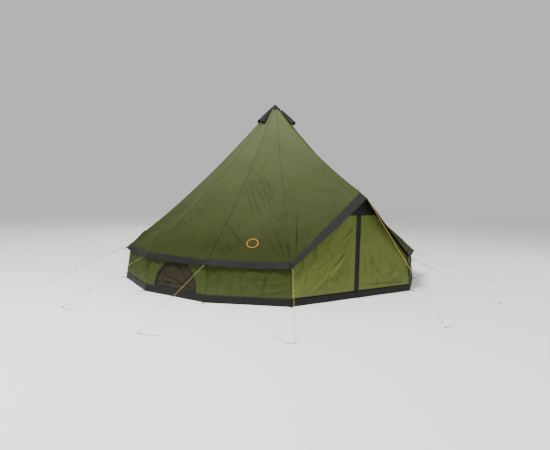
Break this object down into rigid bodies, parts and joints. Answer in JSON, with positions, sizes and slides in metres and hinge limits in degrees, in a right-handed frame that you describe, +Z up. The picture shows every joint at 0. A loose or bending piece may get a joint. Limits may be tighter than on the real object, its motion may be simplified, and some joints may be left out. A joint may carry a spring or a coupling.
{
  "type": "teepee tent",
  "caption": "Bell-shaped teepee tent with a centre pole, low walls, an A-frame zip door, arched mesh windows, roof vents and pegged guy lines.",
  "frame": {"origin": "on the ground under the centre pole, at the groundsheet's underside", "axes": "+Z up, -Y straight out through the door, +X to the right for someone facing the tent from the door"},
  "size_m": [7.3206, 7.5143, 3.2],
  "materials": {
    "roof_cloth": "woven polyester, olive green",
    "wall_cloth": "woven polyester, olive green",
    "trim_cloth": "woven polyester, charcoal",
    "insect_mesh": "knitted mesh",
    "ground_cloth": "coated woven polyethylene, grey",
    "pole_steel": "galvanised steel tube",
    "peg_steel": "galvanised wire",
    "black_plastic": "moulded nylon",
    "zip_plastic": "coil zip",
    "webbing": "woven webbing",
    "guy_rope": "braided polyester cord, gold",
    "runner_metal": "anodised",
    "ring_steel": "plated wire",
    "toggle_wood": "turned beech",
    "ring_thread": "sewn thread, orange"
  },
  "bodies": {
    "tent": {"roof_gores": "roof_cloth", "door_gore_left": "roof_cloth", "door_gore_right": "roof_cloth", "wall_panels": "wall_cloth", "hem_band": "trim_cloth", "eave_valance": "trim_cloth", "window_panels": "wall_cloth", "window_meshes": "insect_mesh", "window_trims": "trim_cloth", "door_sill": "trim_cloth", "door_side_panels": "wall_cloth", "door_peak_patch": "trim_cloth", "door_ties": "toggle_wood", "door_awning": "trim_cloth", "groundsheet": "ground_cloth", "apex_cap": "trim_cloth", "vent_hoods": "trim_cloth", "vent_meshes": "insect_mesh", "pole_bottom": "pole_steel", "pole_middle": "pole_steel", "pole_top": "pole_steel", "pole_foot": "black_plastic", "pole_head": "black_plastic", "door_legs_lower": "pole_steel", "door_legs_upper": "pole_steel", "door_leg_feet": "black_plastic", "door_peak_joint": "black_plastic", "guy_tabs": "webbing", "guy_rings": "ring_steel", "peg_loops": "webbing", "hem_pegs": "peg_steel", "guy_pegs": "peg_steel", "guy_runners": "runner_metal", "sewn_ring": "ring_thread", "guy_line_01": "guy_rope", "guy_line_02": "guy_rope", "guy_line_03": "guy_rope", "guy_line_04": "guy_rope", "guy_line_05": "guy_rope", "guy_line_06": "guy_rope", "guy_line_07": "guy_rope", "guy_line_08": "guy_rope", "guy_line_09": "guy_rope", "guy_line_10": "guy_rope", "guy_line_11": "guy_rope", "guy_line_12": "guy_rope", "guy_line_13": "guy_rope", "guy_line_14": "guy_rope"},
    "flap_left": {"door_flap_left": "wall_cloth", "zip_tape_left": "zip_plastic", "zip_cover_left": "trim_cloth"},
    "flap_right": {"door_flap_right": "wall_cloth", "zip_tape_right": "zip_plastic", "zip_cover_right": "trim_cloth"},
    "slider": {"zip_slider": "runner_metal"},
    "cover_1": {"window_cover_1": "wall_cloth"},
    "cover_2": {"window_cover_2": "wall_cloth"},
    "cover_3": {"window_cover_3": "wall_cloth"},
    "cover_4": {"window_cover_4": "wall_cloth"}
  },
  "joints": [
    {"name": "flap_left_swing", "type": "hinge", "parent": "tent", "child": "flap_left", "pos_m": [-1.08471, -2.25242, 0], "axis": [-0.6017, 0, -0.7987], "range_deg": [0, 90]},
    {"name": "flap_right_swing", "type": "hinge", "parent": "tent", "child": "flap_right", "pos_m": [1.08471, -2.25242, 0], "axis": [-0.6017, 0, 0.7987], "range_deg": [0, 90]},
    {"name": "zip_slide", "type": "slide", "parent": "flap_left", "child": "slider", "axis": [0, 0, 1], "range_m": [0, 1]},
    {"name": "cover_1_fold", "type": "hinge", "parent": "tent", "child": "cover_1", "pos_m": [2.17515, -1.0475, 0.10593], "axis": [-0.4339, -0.901, 0], "range_deg": [0, 95]},
    {"name": "cover_2_fold", "type": "hinge", "parent": "tent", "child": "cover_2", "pos_m": [1.50525, 1.88752, 0.10593], "axis": [0.7818, -0.6235, 0], "range_deg": [0, 95]},
    {"name": "cover_3_fold", "type": "hinge", "parent": "tent", "child": "cover_3", "pos_m": [-1.50525, 1.88752, 0.10593], "axis": [0.7818, 0.6235, 0], "range_deg": [0, 95]},
    {"name": "cover_4_fold", "type": "hinge", "parent": "tent", "child": "cover_4", "pos_m": [-2.17515, -1.0475, 0.10593], "axis": [-0.4339, 0.901, 0], "range_deg": [0, 95]}
  ]
}
